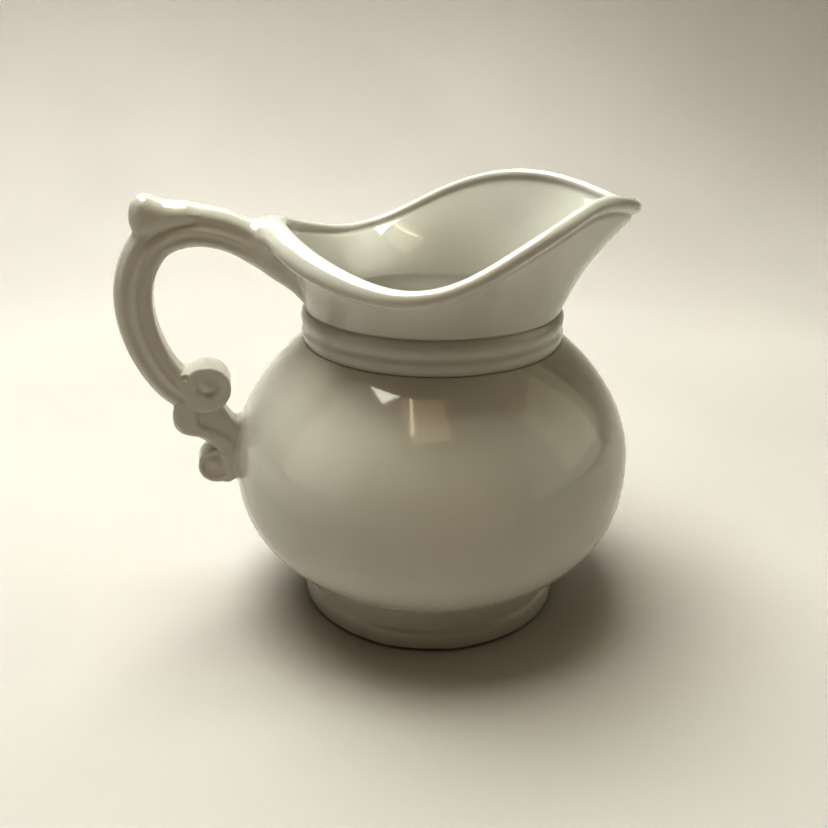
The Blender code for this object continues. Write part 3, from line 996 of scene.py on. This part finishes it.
def glaze(name):
    """White porcelain under a clear glaze: faint tint clouds, fine specks, and a slightly uneven gloss."""
    material, tree, shader, where = new_material(name)
    cloud = noise(tree, where, 38, 3)
    tint = ramp(tree, cloud.outputs["Fac"], ((0.3, GLAZE_COOL), (0.72, GLAZE_WARM)))
    specks = node(tree, "ShaderNodeTexVoronoi", Scale=210)
    tree.links.new(where, specks.inputs["Vector"])
    pits = ramp(tree, specks.outputs["Distance"], ((0.035, (1, 1, 1)), (0.06, (0, 0, 0))))
    rare = ramp(tree, noise(tree, where, 90, 1).outputs["Fac"], ((0.66, (0, 0, 0)), (0.7, (1, 1, 1))))
    both = node(tree, "ShaderNodeMath", operation="MULTIPLY")
    tree.links.new(pits.outputs["Color"], both.inputs[0])
    tree.links.new(rare.outputs["Color"], both.inputs[1])
    colour = node(tree, "ShaderNodeMix", data_type="RGBA")
    tree.links.new(both.outputs[0], colour.inputs["Factor"])
    tree.links.new(tint.outputs["Color"], colour.inputs["A"])
    colour.inputs["B"].default_value = SPECK
    tree.links.new(colour.outputs["Result"], shader.inputs["Base Color"])
    gloss = ramp(tree, noise(tree, where, 160, 2).outputs["Fac"], ((0.3, (0.045,) * 3), (0.75, (0.1,) * 3)))
    tree.links.new(gloss.outputs["Color"], shader.inputs["Roughness"])
    ripple = node(tree, "ShaderNodeBump", Strength=0.25, Distance=0.00006)
    tree.links.new(noise(tree, where, 130, 1).outputs["Fac"], ripple.inputs["Height"])
    pinholes = node(tree, "ShaderNodeBump", Strength=0.6, Distance=0.0001, invert=True)
    tree.links.new(both.outputs[0], pinholes.inputs["Height"])
    tree.links.new(ripple.outputs["Normal"], pinholes.inputs["Normal"])
    tree.links.new(pinholes.outputs["Normal"], shader.inputs["Normal"])
    shader.inputs["IOR"].default_value = GLAZE_IOR
    return material


def bare_clay(name):
    """The unglazed, slightly rough and rubbed clay of the resting ring."""
    material, tree, shader, where = new_material(name)
    wear = noise(tree, where, 240, 4, 0.6)
    tint = ramp(tree, wear.outputs["Fac"], ((0.3, CLAY_RUBBED), (0.7, CLAY_PALE)))
    tree.links.new(tint.outputs["Color"], shader.inputs["Base Color"])
    rough = ramp(tree, wear.outputs["Fac"], ((0.3, (0.55,) * 3), (0.7, (0.8,) * 3)))
    tree.links.new(rough.outputs["Color"], shader.inputs["Roughness"])
    grain = node(tree, "ShaderNodeBump", Strength=0.5, Distance=0.00008)
    tree.links.new(noise(tree, where, 1400, 3).outputs["Fac"], grain.inputs["Height"])
    tree.links.new(grain.outputs["Normal"], shader.inputs["Normal"])
    return material


def cloth(name):
    """The pale matt surface of the sweep and the round wall."""
    material, tree, shader, where = new_material(name)
    tint = ramp(tree, noise(tree, where, 5, 2).outputs["Fac"], ((0.25, FLOOR_DARK), (0.75, FLOOR_LIGHT)))
    tree.links.new(tint.outputs["Color"], shader.inputs["Base Color"])
    shader.inputs["Roughness"].default_value = 0.75
    return material


# ---------------------------------------------------------------- floor, lamps and camera


def swept_profile(start, steps):
    """A curve from the flat floor up into a wall, as (distance, height) in metres."""
    profile = [(start, 0.0)]
    for t in np.linspace(0, math.pi / 2, steps)[1:]:
        profile.append((start + SWEEP_RADIUS * math.sin(t), SWEEP_RADIUS * (1 - math.cos(t))))
    profile.append((start + SWEEP_RADIUS, WALL_TOP))
    return profile


def stage_object(name, points, faces):
    mesh = bpy.data.meshes.new(name)
    mesh.from_pydata(points, [], faces)
    mesh.shade_smooth()
    mesh.materials.append(cloth("pale_" + name))
    obj = bpy.data.objects.new(name, mesh)
    bpy.context.scene.collection.objects.link(obj)
    return obj


def build_floor():
    """A pale sweep: flat under the jug, curving up into a wall behind it."""
    profile = [(SWEEP_FRONT, 0.0)] + swept_profile(SWEEP_START, 24)
    points = [(x, y, z) for y, z in profile for x in SWEEP_SIDES]
    faces = [(2 * i, 2 * i + 1, 2 * i + 3, 2 * i + 2) for i in range(len(profile) - 1)]
    sweep = stage_object("sweep", points, faces)


def build_surround():
    """A round pale wall behind the jug in the other views. Only the camera sees it: it changes no light."""
    profile = swept_profile(SURROUND_START, 16)
    turns = [2 * math.pi * i / SURROUND_COLUMNS for i in range(SURROUND_COLUMNS)]
    points = [(r * math.cos(a), r * math.sin(a), z) for r, z in profile for a in turns]
    faces = []
    for row in range(len(profile) - 1):
        low, high = row * SURROUND_COLUMNS, (row + 1) * SURROUND_COLUMNS
        for i in range(SURROUND_COLUMNS):
            j = (i + 1) % SURROUND_COLUMNS
            faces.append((low + i, high + i, high + j, low + j))
    surround = stage_object("surround", points, faces)
    surround.visible_diffuse = False
    surround.visible_glossy = False
    surround.visible_shadow = False


def axes_matrix(right, up, back, spot):
    """The place of an object that stands at the spot and looks against the direction back."""
    return Matrix.Translation(spot) @ Matrix((right, up, back)).transposed().to_4x4()


def build_lamp(name, spot, along, size, power, colour):
    """A soft rectangular lamp, not seen by the camera. Its second side follows the direction along."""
    lamp = bpy.data.lights.new(name, "AREA")
    lamp.shape = "RECTANGLE"
    lamp.size, lamp.size_y = size
    lamp.energy = power
    lamp.color = colour
    obj = bpy.data.objects.new(name, lamp)
    back = (Vector(spot) - Vector(LAMP_AIM)).normalized()
    right = Vector(along).cross(back).normalized()
    obj.matrix_world = axes_matrix(right, back.cross(right), back, spot)
    obj.visible_camera = False
    bpy.context.scene.collection.objects.link(obj)


def facing(tree, where, across, up, reach):
    """0 inside an oval of directions and 1 outside it, with a soft edge. The two vectors span the oval."""
    oval = tree.nodes.new("ShaderNodeCombineXYZ")
    for socket, direction in (("X", across), ("Y", up)):
        dot = node(tree, "ShaderNodeVectorMath", operation="DOT_PRODUCT")
        tree.links.new(where, dot.inputs[0])
        dot.inputs[1].default_value = direction
        tree.links.new(dot.outputs["Value"], oval.inputs[socket])
    size = node(tree, "ShaderNodeVectorMath", operation="LENGTH")
    tree.links.new(oval.outputs["Vector"], size.inputs[0])
    edge = node(tree, "ShaderNodeMapRange", interpolation_type="SMOOTHSTEP")
    tree.links.new(size.outputs["Value"], edge.inputs["Value"])
    edge.inputs["From Min"].default_value = 1 - reach
    edge.inputs["From Max"].default_value = 1 + reach
    return edge.outputs["Result"]


def build_world():
    """A pale tent with a dim warm room seen through its open front."""
    world = bpy.data.worlds.new("tent")
    bpy.context.scene.world = world
    world.use_nodes = True
    tree = world.node_tree
    background = tree.nodes["Background"]
    where = tree.nodes.new("ShaderNodeTexCoord").outputs["Generated"]
    split = tree.nodes.new("ShaderNodeSeparateXYZ")
    tree.links.new(where, split.inputs["Vector"])
    front = facing(tree, where, OPENING_ACROSS, OPENING_UP, OPENING_EDGE)
    behind = node(tree, "ShaderNodeMath", operation="GREATER_THAN")
    tree.links.new(split.outputs["Y"], behind.inputs[0])
    behind.inputs[1].default_value = 0.0
    outside = node(tree, "ShaderNodeMath", operation="MAXIMUM")
    tree.links.new(front, outside.inputs[0])
    tree.links.new(behind.outputs[0], outside.inputs[1])
    walls = ramp(tree, split.outputs["Z"], ((0.0, TENT_LOW), (0.9, TENT_TOP)))
    mix = node(tree, "ShaderNodeMix", data_type="RGBA")
    tree.links.new(outside.outputs[0], mix.inputs["Factor"])
    mix.inputs["A"].default_value = (*ROOM, 1)
    tree.links.new(walls.outputs["Color"], mix.inputs["B"])
    tree.links.new(mix.outputs["Result"], background.inputs["Color"])
    path = tree.nodes.new("ShaderNodeLightPath")
    strength = node(tree, "ShaderNodeMath", operation="MULTIPLY_ADD")
    tree.links.new(path.outputs["Is Glossy Ray"], strength.inputs[0])
    strength.inputs[1].default_value = TENT_STRENGTH * (TENT_SHEEN - 1)
    strength.inputs[2].default_value = TENT_STRENGTH
    tree.links.new(strength.outputs[0], background.inputs["Strength"])


def build_camera():
    """The camera, in front of the jug and a little above it."""
    data = bpy.data.cameras.new("camera")
    data.lens = CAMERA_LENS
    data.sensor_width = 36.0
    data.clip_start = 0.01
    camera = bpy.data.objects.new("camera", data)
    right, up, back = (Vector(v).normalized() for v in CAMERA_AXES)
    camera.matrix_world = axes_matrix(right, up, back, CAMERA_PLACE)
    bpy.context.scene.collection.objects.link(camera)
    bpy.context.scene.camera = camera


def main():
    bpy.context.scene.view_settings.view_transform = "Standard"
    bpy.context.scene.view_settings.gamma = FILM_GAMMA
    build_camera()
    build_world()
    build_floor()
    build_surround()
    for lamp in LAMPS:
        build_lamp(*lamp)
    pieces = build_body()
    coat = glaze("porcelain_glaze")
    for slot, piece in pieces.items():
        piece.data.materials.append(coat)
        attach(piece, "root")
        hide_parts(slot)
    paint_resting_ring(pieces["foot_ring"], bare_clay("bare_clay"))
    handle = build_handle()
    handle.data.materials.append(coat)
    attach(handle, "root")
    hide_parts("handle_arch", "thumb_rest", "upper_scroll", "handle_bracket", "lower_scroll")


main()
